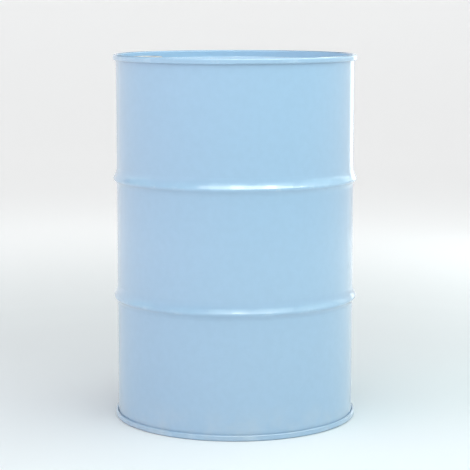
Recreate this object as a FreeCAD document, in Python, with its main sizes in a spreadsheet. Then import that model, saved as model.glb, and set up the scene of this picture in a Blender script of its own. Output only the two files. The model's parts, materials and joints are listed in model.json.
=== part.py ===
import FreeCAD, Part
import Sketcher
import math
import os
import re

# A closed-head steel drum of 200 litres. Millimetres, +Z up, origin at the centre of the plane it stands on.
# The 2 inch bung is on -X, the 3/4 inch bung on +X.
# Each chime is a rolled seam: the body's edge and the head's edge fold over together, down the outside and up again
# beside the wall, with a ring of sealing compound in the core.

DIMENSIONS = {
    # Body
    "drum_height": 880.0,
    "body_inner_radius": 285.75,
    "sheet": 1.2,
    # Rolling hoops: how far they stand out, the radius of the crest and of the hollows above and below it
    "lower_hoop_height": 297.0,
    "upper_hoop_height": 583.0,
    "hoop_rise": 8.0,
    "hoop_crest": 6.0,
    "hoop_hollow_above": 47.0,
    "hoop_hollow_below": 16.0,
    # Chimes
    "seam_height": 14.0,
    "seam_gap": 0.2,
    "seam_fold": 0.8,
    "seam_shoulder": 5.0,
    "seam_hook_gap": 1.2,
    "compound_gap": 0.1,
    # Heads
    "head_recess": 20.0,
    "head_bend": 4.0,
    "head_step_radius": 150.0,
    "head_step_rise": 3.0,
    # Both bungs
    "boss_rise": 3.5,
    "boss_slope": 5.0,
    "boss_round": 3.0,
    "collar_height": 3.0,
    "collar_round": 1.5,
    "collar_lip_round": 0.4,
    "fitting_gap": 0.1,
    "flange_sides": 8,
    "wrench_lugs": 4,
    # 2 inch bung. The bore and the shank meet at the thread's pitch radius.
    "wide_offset": -210.0,
    "wide_boss_radius": 50.0,
    "wide_bore_radius": 29.1,
    "wide_neck_radius": 33.5,
    "wide_neck_rise": 5.0,
    "wide_foot_across": 84.0,
    "wide_foot_thickness": 4.5,
    "wide_seal_width": 6.0,
    "wide_seal_thickness": 1.5,
    "wide_gasket_inner": 30.0,
    "wide_gasket_outer": 33.2,
    "wide_gasket_thickness": 2.0,
    "wide_shank_radius": 29.03,
    "wide_shank_length": 17.0,
    "wide_rim_radius": 34.5,
    "wide_rim_thickness": 3.5,
    "wide_edge_round": 1.2,
    "wide_recess_radius": 25.0,
    "wide_recess_depth": 15.0,
    "wide_lug_width": 9.0,
    "wide_lug_length": 6.0,
    "wide_lug_height": 9.5,
    # 3/4 inch bung
    "small_offset": 222.0,
    "small_boss_radius": 29.0,
    "small_bore_radius": 12.68,
    "small_neck_radius": 15.8,
    "small_neck_rise": 4.5,
    "small_foot_across": 42.0,
    "small_foot_thickness": 4.0,
    "small_seal_width": 3.0,
    "small_seal_thickness": 1.2,
    "small_gasket_inner": 13.4,
    "small_gasket_outer": 15.6,
    "small_gasket_thickness": 1.6,
    "small_shank_radius": 12.61,
    "small_shank_length": 13.0,
    "small_rim_radius": 17.5,
    "small_rim_thickness": 3.0,
    "small_edge_round": 0.9,
    "small_recess_radius": 9.6,
    "small_recess_depth": 11.0,
    "small_lug_width": 4.0,
    "small_lug_length": 2.6,
    "small_lug_height": 7.0,
}
BUNGS = {"wide": "2in", "small": "3_4in"}
NOT_DIMENSIONS = {"cos", "deg"}
ORIGIN_POINT = (-1, 1)
H_AXIS = -1
V_AXIS = -2
TINY = 1e-7

doc = FreeCAD.newDocument("Drum")
parts = []


# ---- the sheet and expressions --------------------------------------------------------------------------------------


def make_sheet():
    """One row for each driving dimension: its name, and its value under that alias."""
    sheet = doc.addObject("Spreadsheet::Sheet", "Dimensions")
    for row, (name, value) in enumerate(DIMENSIONS.items(), start=1):
        sheet.set(f"A{row}", name)
        sheet.set(f"B{row}", str(value))
        sheet.setAlias(f"B{row}", name)
    doc.recompute()


def sized(text):
    """The expression with each dimension's name looked up in the sheet."""
    def look_up(word):
        return word[0] if word[0] in NOT_DIMENSIONS else f"Dimensions.{word[0]}"
    return re.sub(r"[a-z]\w*", look_up, text)


def bind(obj, **expressions):
    """Drive properties of an object from the sheet. A double underscore in a name stands for a dot."""
    for name, text in expressions.items():
        obj.setExpression(name.replace("__", "."), sized(text))


def place(obj, x="0", z="0"):
    """Drive where an object stands."""
    obj.setExpression(".Placement.Base.x", sized(x))
    obj.setExpression(".Placement.Base.z", sized(z))


def finish(obj, node):
    """Name a sub-part and keep it for the checks and the export."""
    obj.Label = node
    parts.append(obj)


# ---- sketches -------------------------------------------------------------------------------------------------------


def new_body(name):
    return doc.addObject("PartDesign::Body", name)


def new_sketch(body, name, role="XZ_Plane"):
    """A sketch on one of the body's own origin planes."""
    plane = next(feature for feature in body.Origin.OriginFeatures if feature.Role == role)
    sketch = body.newObject("Sketcher::SketchObject", name)
    sketch.AttachmentSupport = (plane, "")
    sketch.MapMode = "FlatFace"
    return sketch


def bind_point(sketch, point, across, up):
    """Hold a point of the sketch at two expressions, or on an axis where an expression is zero."""
    for kind, axis, text in (("DistanceX", V_AXIS, across), ("DistanceY", H_AXIS, up)):
        value = sketch.evalExpression(sized(text))
        if abs(value) < TINY:
            sketch.addConstraint(Sketcher.Constraint("PointOnObject", *point, axis))
        else:
            index = sketch.addConstraint(Sketcher.Constraint(kind, *ORIGIN_POINT, *point, value))
            sketch.setExpression(f"Constraints[{index}]", sized(text))


def add_arc(sketch, start, end, centre, radius):
    """An arc about a centre, its radius bound. Returns its two ends in the outline's order."""
    first = start - centre
    last = end - centre
    anticlockwise = first.cross(last).z > 0
    turn = (first, last) if anticlockwise else (last, first)
    circle = Part.Circle(centre, FreeCAD.Vector(0, 0, 1), first.Length)
    edge = sketch.addGeometry(Part.ArcOfCircle(circle, *(math.atan2(ray.y, ray.x) for ray in turn)), False)
    index = sketch.addConstraint(Sketcher.Constraint("Radius", edge, first.Length))
    sketch.setExpression(f"Constraints[{index}]", sized(radius))
    return ((edge, 1), (edge, 2)) if anticlockwise else ((edge, 2), (edge, 1))


def closed_outline(sketch, points):
    """A closed outline. Each point is (across, up), or (across, up, (centre across, centre up, radius)) where the edge
    to the next point is an arc."""
    def vector(across, up):
        return FreeCAD.Vector(*(sketch.evalExpression(sized(text)) for text in (across, up)), 0)
    spots = [vector(*point[:2]) for point in points]
    ends = []
    for number, point in enumerate(points):
        start = spots[number]
        end = spots[(number + 1) % len(points)]
        if len(point) > 2:
            ends.append(add_arc(sketch, start, end, vector(*point[2][:2]), point[2][2]))
        else:
            edge = sketch.addGeometry(Part.LineSegment(start, end), False)
            ends.append(((edge, 1), (edge, 2)))
    for number, point in enumerate(points):
        sketch.addConstraint(Sketcher.Constraint("Coincident", *ends[number - 1][1], *ends[number][0]))
        bind_point(sketch, ends[number][0], *point[:2])


def square_outline(sketch, corners):
    """A closed outline of level and upright lines. Each corner is (across, up), or (across, up, radius) where it is
    rounded. Two rounds may meet with no line between them."""
    def value(text):
        return sketch.evalExpression(sized(text))

    def moved(corner, towards, radius):
        """The corner's place moved by its radius towards its neighbour, and by how much on each axis."""
        steps = []
        for axis in (0, 1):
            way = value(towards[axis]) - value(corner[axis])
            steps.append("" if abs(way) < TINY else f" {'+' if way > 0 else '-'} ({radius})")
        return [f"{corner[axis]}{steps[axis]}" for axis in (0, 1)], steps

    points = []
    for number, corner in enumerate(corners):
        if len(corner) < 3:
            points.append(corner)
            continue
        entry, entry_steps = moved(corner, corners[number - 1], corner[2])
        leave, leave_steps = moved(corner, corners[(number + 1) % len(corners)], corner[2])
        centre = [f"{corner[axis]}{entry_steps[axis]}{leave_steps[axis]}" for axis in (0, 1)]
        points.append((*entry, (*centre, corner[2])))
        points.append(tuple(leave))

    def apart(number):
        return any(abs(value(points[number][axis]) - value(points[number - 1][axis])) > TINY for axis in (0, 1))

    # Where two rounds meet, the first one's end and the second one's start are the same point, and it is kept once.
    closed_outline(sketch, [points[number] for number in kept_points(points, apart)])


def kept_points(points, apart):
    """The numbers of the points, with the first of each coincident pair left out."""
    count = len(points)
    return [number for number in range(count) if apart((number + 1) % count)]


# ---- features -------------------------------------------------------------------------------------------------------


def turn(body, sketch, name, kind="Revolution", axis="V_Axis"):
    """Revolve a sketch by a full turn: kind is Revolution to add, Groove to cut."""
    feature = body.newObject(f"PartDesign::{kind}", name)
    feature.Profile = sketch
    feature.ReferenceAxis = (sketch, [axis])
    feature.Angle = 360
    sketch.Visibility = False
    return feature


def cylinder(name, radius, height, base="0"):
    """A Part cylinder on the Z axis whose foot is at the height base."""
    solid = doc.addObject("Part::Cylinder", name)
    bind(solid, Radius=radius, Height=height)
    place(solid, z=base)
    return solid


def boolean(kind, name, base, tool):
    result = doc.addObject(f"Part::{kind}", name)
    result.Base = base
    result.Tool = tool
    return result


def ring(name, outer, inner, height, base="0"):
    """A plain ring on the Z axis."""
    outside = cylinder(f"{name}_outside", outer, height, base)
    inside = cylinder(f"{name}_inside", inner, height, base)
    return boolean("Cut", name, outside, inside)


# ---- the rolled seam ------------------------------------------------------------------------------------------------


def layer(sheets, gaps, cores=0):
    """A radius in the seam: so many sheets, gaps between sheets and hollow cores out from the body's inner face."""
    return f"body_inner_radius + {sheets} * sheet + {gaps} * seam_gap + {cores} * 2 * seam_fold"


HOOK_END = "2 * sheet + seam_gap + seam_hook_gap"
BODY_BEND = "seam_fold + sheet"
HEAD_INSIDE_BEND = "seam_fold + sheet + seam_gap"
HEAD_BEND = "seam_fold + 2 * sheet + seam_gap"


def body_edge():
    """The body's folded edge, from its inner face over the crown to its outer face, as depths below the crown."""
    crown = "sheet + seam_gap"
    foot = "seam_height - sheet - seam_gap"
    return [
        (layer(0, 0), crown, BODY_BEND),
        (layer(4, 2, 1), crown, "seam_shoulder - sheet - seam_gap"),
        (layer(4, 2, 1), foot, BODY_BEND),
        (layer(2, 2), foot, BODY_BEND),
        (layer(2, 2), HOOK_END),
        (layer(3, 2), HOOK_END),
        (layer(3, 2), "seam_height - 2 * sheet - seam_gap", "seam_fold"),
        (layer(3, 2, 1), "seam_height - 2 * sheet - seam_gap", "seam_fold"),
        (layer(3, 2, 1), "2 * sheet + seam_gap", "seam_shoulder - 2 * sheet - seam_gap"),
        (layer(1, 0), "2 * sheet + seam_gap", "seam_fold"),
    ]


def head_edge():
    """The head's wall and folded edge, from the panel's upper face to its lower face, downwards from the crown."""
    return [
        (layer(-1, -1), "-head_recess", "head_bend"),
        (layer(-1, -1), "0", HEAD_BEND),
        (layer(5, 3, 1), "0", "seam_shoulder"),
        (layer(5, 3, 1), "-seam_height", HEAD_BEND),
        (layer(1, 1), "-seam_height", HEAD_BEND),
        (layer(1, 1), f"-({HOOK_END})"),
        (layer(2, 1), f"-({HOOK_END})"),
        (layer(2, 1), "-seam_height + sheet", HEAD_INSIDE_BEND),
        (layer(4, 3, 1), "-seam_height + sheet", HEAD_INSIDE_BEND),
        (layer(4, 3, 1), "-sheet", "seam_shoulder - sheet"),
        (layer(0, -1), "-sheet", HEAD_INSIDE_BEND),
        (layer(0, -1), "-head_recess - sheet", "head_bend + sheet"),
    ]


# ---- body shell -----------------------------------------------------------------------------------------------------


def hoop_outline(sketch, hoop, skin, back, thinner):
    """One skin of a rolling hoop: a round crest that runs out into the wall through a hollow on each side.
    thinner is what the crest loses and the hollows gain on this skin."""
    crest = f"(hoop_crest - {thinner})"
    crest_centre = f"{skin} + hoop_rise - {crest}"

    def side(hollow, way):
        radius = f"({hollow} + {thinner})"
        reach = f"(hoop_rise * (2 * ({radius} + {crest}) - hoop_rise)) ^ 0.5"
        share = f"{crest} / ({radius} + {crest})"
        return {
            "radius": radius,
            "height": f"{hoop} {way} {reach}",
            "meets": (f"{crest_centre} + ({radius} + {crest} - hoop_rise) * {share}",
                      f"{hoop} {way} {reach} * {share}"),
        }

    below = side("hoop_hollow_below", "-")
    above = side("hoop_hollow_above", "+")
    closed_outline(sketch, [
        (back, below["height"]),
        (skin, below["height"], (f"{skin} + {below['radius']}", below["height"], below["radius"])),
        (*below["meets"], (crest_centre, hoop, crest)),
        (*above["meets"], (f"{skin} + {above['radius']}", above["height"], above["radius"])),
        (skin, above["height"]),
        (back, above["height"]),
    ])


def make_body_shell():
    body = new_body("BodyShell")
    wall = new_sketch(body, "WallOutline")
    edge = body_edge()
    top = [(corner[0], f"drum_height - ({corner[1]})", *corner[2:]) for corner in edge]
    square_outline(wall, top + edge[::-1])
    turn(body, wall, "Wall")
    for name in ("lower", "upper"):
        height = f"{name}_hoop_height"
        outer = new_sketch(body, f"{name}_hoop_outer")
        hoop_outline(outer, height, layer(1, 0), f"{layer(0, 0)} + sheet / 2", "0")
        turn(body, outer, f"{name}_hoop")
        inner = new_sketch(body, f"{name}_hoop_inner")
        hoop_outline(inner, height, layer(0, 0), layer(-1, 0), "sheet")
        turn(body, inner, f"{name}_hoop_hollow", kind="Groove")
    finish(body, "body_shell")


# ---- heads ----------------------------------------------------------------------------------------------------------


def head_body(name):
    """A head with its crown at height zero: a recessed panel with a raised centre, and the folded edge."""
    body = new_body(name)
    outline = new_sketch(body, f"{name}Outline")
    round_over = "(head_step_rise + sheet) / 2"
    round_in = "(head_step_rise - sheet) / 2"
    square_outline(outline, [
        ("0", "-head_recess + head_step_rise"),
        ("head_step_radius", "-head_recess + head_step_rise", round_over),
        ("head_step_radius", "-head_recess", round_in),
        *head_edge(),
        ("head_step_radius - sheet", "-head_recess - sheet", round_over),
        ("head_step_radius - sheet", "-head_recess - sheet + head_step_rise", round_in),
        ("0", "-head_recess - sheet + head_step_rise"),
    ])
    turn(body, outline, f"{name}Sheet")
    return body


def add_boss(body, bung):
    """The raised boss round a bung, with a collar drawn up round the flange's neck."""
    offset = f"{bung}_offset"
    hole = new_sketch(body, f"{bung}_boss_hole", "XY_Plane")
    circle = hole.addGeometry(Part.Circle(FreeCAD.Vector(DIMENSIONS[offset], 0, 0), FreeCAD.Vector(0, 0, 1), 1), False)
    bind_point(hole, (circle, 3), offset, "0")
    index = hole.addConstraint(Sketcher.Constraint("Radius", circle, DIMENSIONS[f"{bung}_boss_radius"]))
    hole.setExpression(f"Constraints[{index}]", sized(f"{bung}_boss_radius"))
    cut = body.newObject("PartDesign::Pocket", f"{bung}_boss_cut")
    cut.Profile = hole
    cut.Type = "ThroughAll"
    cut.Midplane = True
    hole.Visibility = False

    sketch = new_sketch(body, f"{bung}_boss_outline")
    start = FreeCAD.Vector(DIMENSIONS[offset], 0, 0)
    axis = sketch.addGeometry(Part.LineSegment(start, start - FreeCAD.Vector(0, 1, 0)), True)
    bind_point(sketch, (axis, 1), offset, "0")
    bind_point(sketch, (axis, 2), offset, "-head_recess")
    rim = f"{offset} + {bung}_boss_radius"
    collar = f"{offset} + {bung}_neck_radius + fitting_gap"
    closed_outline(sketch, [
        (rim, "-head_recess - sheet"),
        (rim, "-head_recess"),
        (f"{rim} - boss_slope", "-head_recess + boss_rise"),
        (f"{collar} + sheet", "-head_recess + boss_rise"),
        (f"{collar} + sheet", "-head_recess + boss_rise + collar_height"),
        (collar, "-head_recess + boss_rise + collar_height"),
        (collar, "-head_recess + boss_rise - sheet"),
        (f"{rim} - boss_slope", "-head_recess + boss_rise - sheet"),
    ])
    turn(body, sketch, f"{bung}_boss", axis="Axis0")

    neck = f"{bung}_neck_radius + fitting_gap"
    flat = "-head_recess + boss_rise"
    lip = f"{flat} + collar_height"
    rounds = {
        "boss_round": [(f"{bung}_boss_radius", "-head_recess"), (f"{bung}_boss_radius - boss_slope", flat)],
        "collar_round": [(f"{neck} + sheet", flat)],
        "collar_lip_round": [(f"{neck} + sheet", lip), (neck, lip)],
    }
    for radius, rings in rounds.items():
        round_rings(body, bung, radius, rings)


def round_rings(body, bung, radius, rings):
    """Round the body's circular edges about a bung's axis. Each is given by its own radius and its height."""
    doc.recompute()
    base = body.Tip

    def value(text):
        return base.evalExpression(sized(text))

    wanted = [(value(f"{bung}_offset"), value(across), value(up)) for across, up in rings]
    names = []
    for number, edge in enumerate(base.Shape.Edges, start=1):
        if isinstance(edge.Curve, Part.Circle):
            found = (edge.Curve.Center.x, edge.Curve.Radius, edge.Curve.Center.z)
            if any(math.dist(found, ring_place) < TINY for ring_place in wanted):
                names.append(f"Edge{number}")
    if len(names) != len(rings):
        raise RuntimeError(f"{bung} {radius}: {len(names)} edges found, not {len(rings)}")
    fillet = body.newObject("PartDesign::Fillet", f"{bung}_{radius}")
    fillet.Base = (base, names)
    bind(fillet, Radius=radius)


def make_heads():
    top = head_body("TopHead")
    for bung in BUNGS:
        add_boss(top, bung)
    place(top, z="drum_height")
    finish(top, "top_head")
    bottom = head_body("BottomHead")
    bottom.Placement = FreeCAD.Placement(FreeCAD.Vector(), FreeCAD.Rotation(FreeCAD.Vector(1, 0, 0), 180))
    finish(bottom, "bottom_head")


def make_seam_compound():
    """The compound in the hollow core of each seam, clear of the sheets by compound_gap."""
    outer = f"{layer(3, 2, 1)} - compound_gap"
    inner = f"{layer(3, 2)} + compound_gap"
    low = "seam_shoulder"
    height = "seam_height - seam_shoulder - 2 * sheet - seam_gap - seam_fold"
    for name, base in (("top", f"drum_height - ({low}) - ({height})"), ("bottom", low)):
        finish(ring(f"{name}_compound", outer, inner, height, base), f"{name}_seam_compound")


# ---- bungs ----------------------------------------------------------------------------------------------------------

BOSS_TOP = "drum_height - head_recess + boss_rise"


def make_flange(bung, size):
    """The threaded insert: an eight-sided foot under the head and a neck up through its collar. Height zero is the
    boss's upper face."""
    foot = doc.addObject("Part::Prism", f"{bung}_foot")
    bind(foot, Polygon="flange_sides", Height=f"{bung}_foot_thickness",
         Circumradius=f"{bung}_foot_across / 2 / cos(180 deg / flange_sides)")
    place(foot, z=f"-sheet - {bung}_foot_thickness")
    height = f"{bung}_neck_rise + sheet + {bung}_foot_thickness"
    neck = cylinder(f"{bung}_neck", f"{bung}_neck_radius", height, f"-sheet - {bung}_foot_thickness")
    solid = boolean("Fuse", f"{bung}_blank", foot, neck)
    bore = cylinder(f"{bung}_bore", f"{bung}_bore_radius", height, f"-sheet - {bung}_foot_thickness")
    bored = boolean("Cut", f"{bung}_bored", solid, bore)
    seat = ring(f"{bung}_seat", f"{bung}_neck_radius + {bung}_seal_width", f"{bung}_neck_radius",
                f"{bung}_seal_thickness", f"-sheet - {bung}_seal_thickness")
    flange = boolean("Cut", f"{bung}_flange", bored, seat)
    place(flange, x=f"{bung}_offset", z=BOSS_TOP)
    finish(flange, f"bung_flange_{size}")

    seal = ring(f"{bung}_seal", f"{bung}_neck_radius + {bung}_seal_width - fitting_gap",
                f"{bung}_neck_radius + fitting_gap", f"{bung}_seal_thickness", f"-sheet - {bung}_seal_thickness")
    place(seal, x=f"{bung}_offset", z=BOSS_TOP)
    finish(seal, f"bung_flange_{size}_gasket")


def make_plug(bung, size):
    """The screwed plug: a rim, a shank and a recess with lugs for the wrench. Height zero is the rim's underside."""
    body = new_body(f"{bung}_plug")
    outline = new_sketch(body, f"{bung}_plug_outline")
    floor = f"{bung}_rim_thickness - {bung}_recess_depth"
    edge = f"{bung}_edge_round"
    square_outline(outline, [
        ("0", f"-{bung}_shank_length"),
        (f"{bung}_shank_radius", f"-{bung}_shank_length", edge),
        (f"{bung}_shank_radius", "0"),
        (f"{bung}_rim_radius", "0"),
        (f"{bung}_rim_radius", f"{bung}_rim_thickness", edge),
        (f"{bung}_recess_radius", f"{bung}_rim_thickness", edge),
        (f"{bung}_recess_radius", floor, edge),
        ("0", floor),
    ])
    turn(body, outline, f"{bung}_plug_blank")

    profile = new_sketch(body, f"{bung}_lug_profile", "XY_Plane")
    profile.setExpression(".AttachmentOffset.Base.z", sized(floor))
    inner = f"{bung}_recess_radius - {bung}_lug_length"
    outer = f"{bung}_recess_radius + {edge}"
    square_outline(profile, [
        (inner, f"-{bung}_lug_width / 2"),
        (outer, f"-{bung}_lug_width / 2"),
        (outer, f"{bung}_lug_width / 2"),
        (inner, f"{bung}_lug_width / 2"),
    ])
    lug = body.newObject("PartDesign::Pad", f"{bung}_lug")
    lug.Profile = profile
    bind(lug, Length=f"{bung}_lug_height")
    profile.Visibility = False
    doc.recompute()
    lugs = body.newObject("PartDesign::PolarPattern", f"{bung}_lugs")
    lugs.Originals = [lug]
    lugs.Axis = (profile, ["N_Axis"])
    lugs.Angle = 360
    bind(lugs, Occurrences="wrench_lugs")
    body.Tip = lugs
    place(body, x=f"{bung}_offset", z=f"{BOSS_TOP} + {bung}_neck_rise + {bung}_gasket_thickness")
    finish(body, f"plug_{size}")

    gasket = ring(f"{bung}_gasket", f"{bung}_gasket_outer", f"{bung}_gasket_inner", f"{bung}_gasket_thickness")
    place(gasket, x=f"{bung}_offset", z=f"{BOSS_TOP} + {bung}_neck_rise")
    finish(gasket, f"plug_{size}_gasket")


# ---- checks and export ----------------------------------------------------------------------------------------------


def check():
    """Stop if any object failed, a sketch is loose or a sub-part isn't one valid solid."""
    for obj in doc.Objects:
        if {"Invalid", "Error"} & set(obj.State):
            raise RuntimeError(f"{obj.Name} failed: {obj.State}")
        if obj.TypeId == "Sketcher::SketchObject" and not obj.FullyConstrained:
            raise RuntimeError(f"{obj.Name} isn't fully constrained")
    for part in parts:
        shape = part.Shape
        if shape.isNull() or not shape.isValid() or len(shape.Solids) != 1:
            raise RuntimeError(f"{part.Label} isn't one valid solid")


def export():
    os.makedirs("parts", exist_ok=True)
    for part in parts:
        part.Shape.exportStep(f"parts/{part.Label}.step")
        box = part.Shape.optimalBoundingBox()
        print(f"{part.Label}: {part.Shape.Volume / 1000:.2f} cm3, "
              f"z {box.ZMin:.2f} to {box.ZMax:.2f}, x {box.XMin:.2f} to {box.XMax:.2f}")


make_sheet()
make_body_shell()
make_heads()
make_seam_compound()
for bung_name, bung_size in BUNGS.items():
    make_flange(bung_name, bung_size)
    make_plug(bung_name, bung_size)
doc.recompute()
check()
export()
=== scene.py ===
import json
import math

import bmesh
import bpy
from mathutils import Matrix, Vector
from mathutils.bvhtree import BVHTree

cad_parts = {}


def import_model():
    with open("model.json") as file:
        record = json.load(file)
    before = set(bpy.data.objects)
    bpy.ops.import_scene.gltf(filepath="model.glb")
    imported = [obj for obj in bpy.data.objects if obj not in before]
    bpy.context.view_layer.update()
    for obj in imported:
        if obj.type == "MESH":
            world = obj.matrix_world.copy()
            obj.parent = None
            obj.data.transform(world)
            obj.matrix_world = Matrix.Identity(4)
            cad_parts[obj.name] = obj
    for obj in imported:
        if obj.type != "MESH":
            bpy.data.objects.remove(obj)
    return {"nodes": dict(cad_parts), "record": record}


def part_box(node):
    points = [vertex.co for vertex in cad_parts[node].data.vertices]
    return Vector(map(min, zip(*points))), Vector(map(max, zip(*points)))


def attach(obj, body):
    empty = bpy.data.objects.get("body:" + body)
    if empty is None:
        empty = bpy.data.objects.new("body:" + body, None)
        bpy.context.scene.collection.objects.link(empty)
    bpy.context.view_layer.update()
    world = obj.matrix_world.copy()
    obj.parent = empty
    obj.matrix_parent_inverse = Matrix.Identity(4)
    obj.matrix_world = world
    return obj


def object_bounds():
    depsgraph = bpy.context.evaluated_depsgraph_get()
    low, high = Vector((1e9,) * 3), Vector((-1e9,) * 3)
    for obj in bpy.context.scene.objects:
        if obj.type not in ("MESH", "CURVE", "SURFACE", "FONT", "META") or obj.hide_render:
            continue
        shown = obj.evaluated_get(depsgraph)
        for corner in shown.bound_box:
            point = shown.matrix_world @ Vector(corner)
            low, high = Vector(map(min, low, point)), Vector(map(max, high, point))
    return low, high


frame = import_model()
cad_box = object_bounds()
nodes = frame["nodes"]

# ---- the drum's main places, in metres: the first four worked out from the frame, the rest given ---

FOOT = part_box("bottom_head")[0].z
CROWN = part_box("top_head")[1].z
HOOP_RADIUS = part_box("body_shell")[1].x
CHIME_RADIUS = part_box("top_head")[1].x
HOOP_RISE = 0.008
WALL_RADIUS = HOOP_RADIUS - HOOP_RISE
SEAM_HEIGHT = 0.014
SEAM_SHOULDER = 0.005  # the round at a chime's outer end
SEAM_BEND = 0.0034  # the round where it turns back to the body
PLUGS = {"plug_2in": (0.02903, 0.002309), "plug_3_4in": (0.01261, 0.001814)}  # shank radius and thread pitch


# ---- shader helpers ----------------------------------------------------------------------------


class Shader:
    """A material under construction. Each method adds nodes and returns the output that others link to."""

    def __init__(self, name):
        self.material = bpy.data.materials.new(name)
        self.material.use_nodes = True
        self.tree = self.material.node_tree
        self.tree.nodes.clear()
        self.place = self.add("ShaderNodeTexCoord").outputs["Object"]

    def add(self, kind, inputs=None, **settings):
        """A node of this kind. An input that is a socket is linked, and any other is set as a value."""
        made = self.tree.nodes.new(kind)
        for name, value in settings.items():
            setattr(made, name, value)
        for name, value in (inputs or {}).items():
            if isinstance(value, bpy.types.NodeSocket):
                self.tree.links.new(value, made.inputs[name])
            else:
                made.inputs[name].default_value = value
        return made

    def maths(self, operation, first, second=0.0, clamp=False):
        made = self.add("ShaderNodeMath", {0: first, 1: second}, operation=operation, use_clamp=clamp)
        return made.outputs["Value"]

    def stretched(self, scale):
        """The place, scaled on each axis."""
        return self.add("ShaderNodeMapping", {"Vector": self.place, "Scale": scale}).outputs["Vector"]

    def noise(self, scale, detail=3.0, roughness=0.5, vector=None):
        inputs = {"Vector": vector or self.place, "Scale": scale, "Detail": detail, "Roughness": roughness}
        return self.add("ShaderNodeTexNoise", inputs).outputs["Fac"]

    def step(self, value, low, high, to_low=0.0, to_high=1.0):
        """A smooth change from to_low at low to to_high at high."""
        inputs = {"Value": value, "From Min": low, "From Max": high, "To Min": to_low, "To Max": to_high}
        return self.add("ShaderNodeMapRange", inputs, interpolation_type="SMOOTHSTEP").outputs["Result"]

    def blend(self, factor, first, second, how="MIX"):
        """A mix of two colours."""
        made = self.add("ShaderNodeMix", {0: factor, 6: first, 7: second}, data_type="RGBA", blend_type=how)
        return made.outputs[2]

    def axis(self, name):
        """The place along one axis."""
        return self.add("ShaderNodeSeparateXYZ", {"Vector": self.place}).outputs[name]

    def from_axis(self):
        """The distance from the drum's axis."""
        return self.maths("SQRT", self.maths("ADD", self.maths("POWER", self.axis("X"), 2.0),
                                             self.maths("POWER", self.axis("Y"), 2.0)))

    def bump(self, height, distance, normal=None):
        inputs = {"Height": height, "Distance": distance}
        if normal:
            inputs["Normal"] = normal
        return self.add("ShaderNodeBump", inputs).outputs["Normal"]

    def surface(self, **inputs):
        """The finished surface. An underscore in an input's name stands for a space."""
        inputs = {name.replace("_", " "): value for name, value in inputs.items()}
        surface = self.add("ShaderNodeBsdfPrincipled", inputs)
        self.add("ShaderNodeOutputMaterial", {"Surface": surface.outputs["BSDF"]})
        return self.material


# ---- materials ---------------------------------------------------------------------------------

LIGHT_BLUE = (0.335, 0.508, 0.680, 1)
LAVENDER_BLUE = (0.350, 0.506, 0.670, 1)
RUBBED_BLUE = (0.46, 0.61, 0.74, 1)
PRIMER_GREY = (0.42, 0.44, 0.45, 1)
DUST = (0.62, 0.63, 0.62, 1)
BRIGHT_ZINC = (0.59, 0.60, 0.61, 1)
YELLOW_ZINC = (0.61, 0.59, 0.53, 1)
DULL_ZINC = (0.38, 0.38, 0.37, 1)
RUBBER_BLACK = (0.012, 0.012, 0.013, 1)
RUBBER_BLOOM = (0.05, 0.05, 0.05, 1)
DARK_BUFF = (0.30, 0.27, 0.21, 1)
PALE_BUFF = (0.38, 0.35, 0.28, 1)
FLOOR_GREY = (0.86, 0.86, 0.86, 1)
FLOOR_WHITE = (0.89, 0.89, 0.89, 1)
UNLIT = (0, 0, 0, 1)
LIT = (1, 1, 1, 1)

USUAL = (0.3, 0.7)  # most of a noise's values lie between these


def chime_normal(paint):
    """The normal of the chimes' outer faces, worked out from their two rounds: the shoulder at the end and
    the bend towards the body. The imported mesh's own normals waver there, which breaks up the highlight.
    Everywhere else this is the mesh's own normal."""
    height, radius = paint.axis("Z"), paint.from_axis()
    above = paint.maths("SUBTRACT", CROWN, height)
    below = paint.maths("SUBTRACT", height, FOOT)
    depth = paint.maths("MINIMUM", above, below)
    shoulder = paint.maths("SUBTRACT", SEAM_SHOULDER, depth)
    shoulder = paint.maths("DIVIDE", shoulder, SEAM_SHOULDER, clamp=True)
    bend = paint.maths("SUBTRACT", depth, SEAM_HEIGHT - SEAM_BEND)
    bend = paint.maths("DIVIDE", bend, SEAM_BEND, clamp=True)
    which_end = paint.maths("SIGN", paint.maths("SUBTRACT", below, above))
    rise = paint.maths("MULTIPLY", paint.maths("SUBTRACT", shoulder, bend), which_end)
    level = paint.maths("SUBTRACT", 1.0, paint.maths("MULTIPLY", rise, rise), clamp=True)
    share = paint.maths("DIVIDE", paint.maths("SQRT", level), radius)
    outward = {"X": paint.maths("MULTIPLY", paint.axis("X"), share),
               "Y": paint.maths("MULTIPLY", paint.axis("Y"), share), "Z": rise}
    true = paint.add("ShaderNodeCombineXYZ", outward).outputs["Vector"]
    turned = paint.add("ShaderNodeVectorTransform", {"Vector": true}, vector_type="NORMAL",
                       convert_from="OBJECT", convert_to="WORLD").outputs["Vector"]
    inside_edge = 0.0003
    past_bend = 0.0002
    outer = paint.maths("GREATER_THAN", radius, CHIME_RADIUS - SEAM_SHOULDER + inside_edge)
    near_end = paint.maths("LESS_THAN", depth, SEAM_HEIGHT + past_bend)
    where = paint.maths("MULTIPLY", outer, near_end)
    own = paint.add("ShaderNodeNewGeometry").outputs["Normal"]
    return paint.add("ShaderNodeMix", {0: where, 4: own, 5: turned}, data_type="VECTOR").outputs[1]


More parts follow.
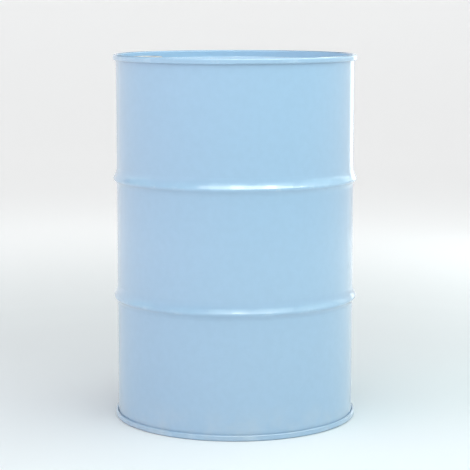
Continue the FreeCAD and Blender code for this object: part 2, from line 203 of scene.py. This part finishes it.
def painted_steel():
    """Light blue stoved enamel on rolled sheet: slightly uneven in colour, rubbed on the hoops and chimes,
    with faint scuffs round the body and a little dust at the foot and on the heads."""
    paint = Shader("painted_steel")
    height = paint.axis("Z")
    radius = paint.from_axis()

    cloud = paint.step(paint.noise(1.6, 1.0), *USUAL)
    colour = paint.blend(cloud, LIGHT_BLUE, LAVENDER_BLUE)
    mottle = paint.step(paint.noise(60.0, 4.0), *USUAL, 0.985, 1.01)
    colour = paint.blend(1.0, colour, mottle, "MULTIPLY")

    # Rubbed: the hoops' crests, and the chimes' outer faces and crown, where drums roll and knock together.
    proud = paint.step(radius, WALL_RADIUS + 0.6 * HOOP_RISE, WALL_RADIUS + 0.95 * HOOP_RISE)
    crown = paint.step(height, CROWN - 0.002, CROWN - 0.0003)
    edge = paint.maths("MAXIMUM", proud, crown)
    patchy = paint.step(paint.noise(26.0, 6.0, 0.65), 0.50, 0.66)
    rub = paint.maths("MULTIPLY", edge, patchy)
    colour = paint.blend(paint.maths("MULTIPLY", rub, 0.55), colour, RUBBED_BLUE)
    chips = paint.step(paint.noise(210.0, 3.0, 0.6), 0.66, 0.69)
    chips = paint.maths("MULTIPLY", paint.maths("MULTIPLY", chips, rub), 0.8)
    colour = paint.blend(chips, colour, PRIMER_GREY)

    # Scuffs run round the drum, because it is rolled and slid upright.
    flat_streaks = (6.0, 6.0, 300.0)
    streaks = paint.noise(1.0, 2.0, 0.5, paint.stretched(flat_streaks))
    where = paint.step(paint.noise(3.0, 1.0), 0.50, 0.62)
    scuffs = paint.maths("MULTIPLY", paint.step(streaks, 0.70, 0.76), where)
    colour = paint.blend(paint.maths("MULTIPLY", scuffs, 0.22), colour, RUBBED_BLUE)

    # Dust: fading upwards from the foot, and lying on both heads inside their chimes.
    dusty_foot = 0.10
    low = paint.step(height, FOOT + dusty_foot, FOOT, 0.0, 0.30)
    heads = paint.maths("MULTIPLY", paint.step(height, CROWN - 0.012, CROWN - 0.018),
                        paint.step(radius, CHIME_RADIUS - 0.010, CHIME_RADIUS - 0.012))
    dusty = paint.maths("MAXIMUM", low, paint.maths("MULTIPLY", heads, 0.35))
    dust = paint.maths("MULTIPLY", dusty, paint.step(paint.noise(14.0, 5.0, 0.6), 0.35, 0.75))
    colour = paint.blend(dust, colour, DUST)

    rough = paint.step(paint.noise(9.0, 3.0), *USUAL, 0.29, 0.34)
    rough = paint.maths("ADD", rough, paint.maths("MULTIPLY", paint.maths("ADD", rub, scuffs), 0.10))
    rough = paint.maths("ADD", rough, paint.maths("MULTIPLY", dust, 0.35), clamp=True)

    smooth = chime_normal(paint)
    waves = paint.bump(paint.noise(4.5, 1.0), 0.0016, smooth)
    peel = paint.bump(paint.noise(620.0, 1.0), 0.00006, waves)
    relief = paint.bump(paint.maths("ADD", chips, scuffs), -0.00006, peel)
    return paint.surface(Base_Color=colour, Roughness=rough, Normal=relief,
                         Coat_Weight=1.0, Coat_Roughness=0.07, Coat_Normal=smooth)


def zinc_plated_steel():
    """Bright zinc on pressed steel: a faint yellow cast in patches, a fine grain and dull rubbed spots."""
    zinc = Shader("zinc_plated_steel")
    cast = zinc.step(zinc.noise(60.0, 3.0), 0.35, 0.7)
    colour = zinc.blend(cast, BRIGHT_ZINC, YELLOW_ZINC)
    spots = zinc.step(zinc.noise(240.0, 4.0, 0.6), 0.55, 0.68)
    colour = zinc.blend(zinc.maths("MULTIPLY", spots, 0.5), colour, DULL_ZINC)
    rough = zinc.step(zinc.noise(90.0, 3.0), *USUAL, 0.28, 0.40)
    rough = zinc.maths("ADD", rough, zinc.maths("MULTIPLY", spots, 0.15))
    grain = zinc.bump(zinc.noise(1500.0, 2.0), 0.00003)
    dents = zinc.bump(zinc.noise(130.0, 2.0), 0.00012, grain)
    return zinc.surface(Base_Color=colour, Metallic=1.0, Roughness=rough, Normal=dents)


def black_rubber():
    """Moulded rubber: matt black with a grey bloom."""
    rubber = Shader("black_rubber")
    bloom = rubber.step(rubber.noise(180.0, 4.0, 0.6), 0.4, 0.75, 0.0, 0.5)
    colour = rubber.blend(bloom, RUBBER_BLACK, RUBBER_BLOOM)
    rough = rubber.step(rubber.noise(300.0), *USUAL, 0.55, 0.75)
    grain = rubber.bump(rubber.noise(900.0), 0.00004)
    return rubber.surface(Base_Color=colour, Roughness=rough, Normal=grain)


def seam_compound():
    """Sealing compound: a dull, slightly lumpy buff."""
    paste = Shader("seam_compound")
    colour = paste.blend(paste.noise(200.0), DARK_BUFF, PALE_BUFF)
    rough = paste.step(paste.noise(120.0), *USUAL, 0.6, 0.8)
    lumps = paste.bump(paste.noise(500.0), 0.0001)
    return paste.surface(Base_Color=colour, Roughness=rough, Normal=lumps)


def pale_floor():
    """A pale floor that glows further from the drum, so that the background stays as light as the floor."""
    floor = Shader("pale_floor")
    tone = floor.blend(floor.noise(1.5, 2.0), FLOOR_GREY, FLOOR_WHITE)
    glow_starts, glow_full = 0.7, 3.6
    glow = floor.step(floor.from_axis(), glow_starts, glow_full)
    colour = floor.blend(glow, UNLIT, LIT)
    return floor.surface(Base_Color=tone, Roughness=0.7, Emission_Color=colour, Emission_Strength=0.5)


MATERIALS = {
    "painted_steel": painted_steel(),
    "zinc_plated_steel": zinc_plated_steel(),
    "black_rubber": black_rubber(),
    "seam_compound": seam_compound(),
}


def paint_cad_nodes():
    """Each CAD node gets the material of its slot in the record."""
    for part in frame["record"]["subparts"]:
        for slot in nodes[part["node"]].material_slots:
            slot.material = MATERIALS[part["material_slot"]]


# ---- pieces ------------------------------------------------------------------------------------


def new_piece(name, mesh, slot, body):
    """Adds a mesh object with the slot's material, riding on a body."""
    piece = bpy.data.objects.new(name, mesh)
    bpy.context.scene.collection.objects.link(piece)
    mesh.materials.append(MATERIALS[slot])
    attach(piece, body)


def grid_mesh(name, rows, closed=False):
    """A smooth quad mesh through rows of points. closed joins each row's last point to its first and caps the
    two ends."""
    build = bmesh.new()
    made = [[build.verts.new(point) for point in row] for row in rows]
    count = len(rows[0])
    for first, second in zip(made, made[1:]):
        for number in range(count if closed else count - 1):
            after = (number + 1) % count
            build.faces.new((first[number], first[after], second[after], second[number]))
    if closed:
        build.faces.new(made[0][::-1])
        build.faces.new(made[-1])
    bmesh.ops.recalc_face_normals(build, faces=build.faces)
    mesh = bpy.data.meshes.new(name)
    build.to_mesh(mesh)
    build.free()
    for face in mesh.polygons:
        face.use_smooth = True
    return mesh


def side_seam():
    """The body's welded seam: a low painted bead up the back, from chime to chime, rubbed flat on the hoops'
    crests."""
    width = 0.007
    rise = 0.0005
    flank = rise * 0.8
    sunk = 0.0004
    step = 0.002
    ripple_size, ripple_rate = 0.12, 1.9
    low = FOOT + SEAM_HEIGHT
    high = CROWN - SEAM_HEIGHT
    proudest = cad_box[1].y - 0.00003
    section = [(-0.5, -sunk), (-0.3, flank), (0.0, rise), (0.3, flank), (0.5, -sunk)]
    shell = nodes["body_shell"].data
    tree = BVHTree.FromPolygons([v.co for v in shell.vertices], [p.vertices for p in shell.polygons])
    rows = []
    count = round((high - low) / step)
    for number in range(count + 1):
        z = low + (high - low) * number / count
        hit = tree.ray_cast(Vector((0, 1, z)), Vector((0, -1, 0)))[0]
        ripple = 1 + ripple_size * math.sin(number * ripple_rate)
        rows.append([Vector((width * share, min(hit.y + height * ripple, proudest), z))
                     for share, height in section])
    new_piece("side_seam_weld", grid_mesh("side_seam_weld", rows, closed=True), "painted_steel", "drum")


def plug_thread(plug, shank, pitch):
    """The screw thread on a plug's shank: a helical ridge of the right hand that fades out at both ends."""
    steps_a_turn = 64
    fade_rate = 8
    sunk = 0.0003
    half_foot, half_crest = 0.42, 0.08  # of the ridge, in pitches
    low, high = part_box(plug)
    centre = (low + high) / 2
    rise = 0.3 * pitch
    start = low.z + 0.8 * pitch
    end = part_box(f"{plug}_gasket")[1].z - 0.4 * pitch
    turns = (end - start) / pitch
    steps = round(turns * steps_a_turn)
    rows = []
    for number in range(steps + 1):
        share = number / steps
        angle = 2 * math.pi * turns * share
        z = start + (end - start) * share
        fade = min(1.0, fade_rate * share, fade_rate * (1 - share))
        out = shank + rise * fade
        under = shank - sunk
        section = [(under, -half_foot), (out, -half_crest), (out, half_crest), (under, half_foot)]
        across, forward = math.cos(angle), math.sin(angle)
        rows.append([Vector((centre.x + r * across, centre.y + r * forward, z + along * pitch))
                     for r, along in section])
    new_piece(f"{plug}_thread", grid_mesh(f"{plug}_thread", rows, closed=True), "zinc_plated_steel", plug)


# ---- room, lights and camera -------------------------------------------------------------------

WHITE = (0.75, 0.98, 1.0)
COOL = (0.50, 0.95, 1.0)
WARM_WHITE = (1.0, 0.95, 0.9)
EDGE_WHITE = (0.9, 1.0, 1.0)
PINK = (1.0, 0.55, 0.63)

# Panels round the front: turn and lift in degrees, radiance and colour.
ARCH = [(-100, 28, 0.7, COOL), (-54, 38, 0.7, COOL), (-6, 40, 2.0, WHITE), (40, 37, 2.0, WHITE),
        (84, 30, 1.6, WHITE), (120, 24, 1.0, WHITE)]

# Strips that show only in reflections: turn in degrees and radiance.
SHEEN = [(-15, 3.0), (20, 5.0), (55, 5.0), (90, 3.5), (125, 3.0)]
SHEEN_LIFT = 44

LENS = 130
SENSOR = 36
CAMERA_PLACE = (0, -4.1, 1.02)
AIM = Vector((0, 0, CROWN / 2))


def room():
    """A pale floor that sweeps up all round, so that every view has the same plain background."""
    flat = 6.5
    bend = 3.0
    sides = 96
    profile = [(flat * share, 0.0) for share in (0.0001, 0.2, 0.5, 0.8, 1.0)]
    for degrees in range(10, 91, 10):
        angle = math.radians(degrees)
        profile.append((flat + bend * math.sin(angle), bend * (1 - math.cos(angle))))
    angles = [2 * math.pi * number / sides for number in range(sides + 1)]
    rows = [[Vector((radius * math.cos(angle), radius * math.sin(angle), z)) for angle in angles]
            for radius, z in profile]
    floor = bpy.data.objects.new("floor", grid_mesh("floor", rows))
    bpy.context.scene.collection.objects.link(floor)
    floor.data.materials.append(pale_floor())


def softbox(name, turn, lift, distance, size, radiance, colour=(1, 1, 1), target=(0, 0, 0.45)):
    """A rectangular light that faces the target, turned to the right of the front and lifted above the level
    by these angles in degrees."""
    data = bpy.data.lights.new(name, "AREA")
    data.shape = "RECTANGLE"
    data.size, data.size_y = size
    data.energy = math.pi * size[0] * size[1] * radiance
    data.color = colour
    light = bpy.data.objects.new(name, data)
    turn, lift = math.radians(turn), math.radians(lift)
    away = Vector((math.sin(turn) * math.cos(lift), -math.cos(turn) * math.cos(lift), math.sin(lift)))
    light.location = Vector(target) + distance * away
    light.rotation_euler = (-away).to_track_quat("-Z", "Y").to_euler()
    light.visible_camera = False
    bpy.context.scene.collection.objects.link(light)
    return light


def lights():
    """An arch of soft panels round the front, brighter to the right, lights the body. The sheen is a row of
    strips that only reflections show: they draw the highlights along the hoops and chimes, and sit high
    enough that the head doesn't mirror them when it is seen from 30 degrees up. A panel overhead lights the
    head, a strip edges the body on the right, and a pink fill warms the left without a reflection of its
    own."""
    for number, (turn, lift, radiance, colour) in enumerate(ARCH):
        softbox(f"arch_{number}", turn, lift, 3.4, (2.1, 1.9), radiance, colour)
    for number, (turn, radiance) in enumerate(SHEEN):
        strip = softbox(f"sheen_{number}", turn, SHEEN_LIFT, 3.3, (2.1, 0.7), radiance, WARM_WHITE)
        strip.visible_diffuse = False
    softbox("overhead", 0, 84, 3.0, (3.6, 3.4), 1.6)
    softbox("edge", 149, 12, 3.2, (0.8, 1.7), 1.3, EDGE_WHITE)
    fill = softbox("fill", -66, 20, 3.6, (3.0, 1.4), 2.0, PINK, (0, 0, 0.6))
    fill.visible_glossy = False


def world():
    """A dim white world behind the lights, and colours shown as they are."""
    pale = bpy.data.worlds.new("pale")
    bpy.context.scene.world = pale
    pale.use_nodes = True
    background = pale.node_tree.nodes["Background"].inputs
    background["Color"].default_value = LIT
    background["Strength"].default_value = 0.14
    bpy.context.scene.view_settings.view_transform = "Standard"


def camera():
    """In front of the drum and a little above its top."""
    data = bpy.data.cameras.new("camera")
    data.lens = LENS
    data.sensor_width = SENSOR
    made = bpy.data.objects.new("camera", data)
    made.location = CAMERA_PLACE
    made.rotation_euler = (AIM - made.location).to_track_quat("-Z", "Y").to_euler()
    bpy.context.scene.collection.objects.link(made)
    bpy.context.scene.camera = made


paint_cad_nodes()
side_seam()
for plug_name, (shank_radius, thread_pitch) in PLUGS.items():
    plug_thread(plug_name, shank_radius, thread_pitch)
room()
lights()
world()
camera()
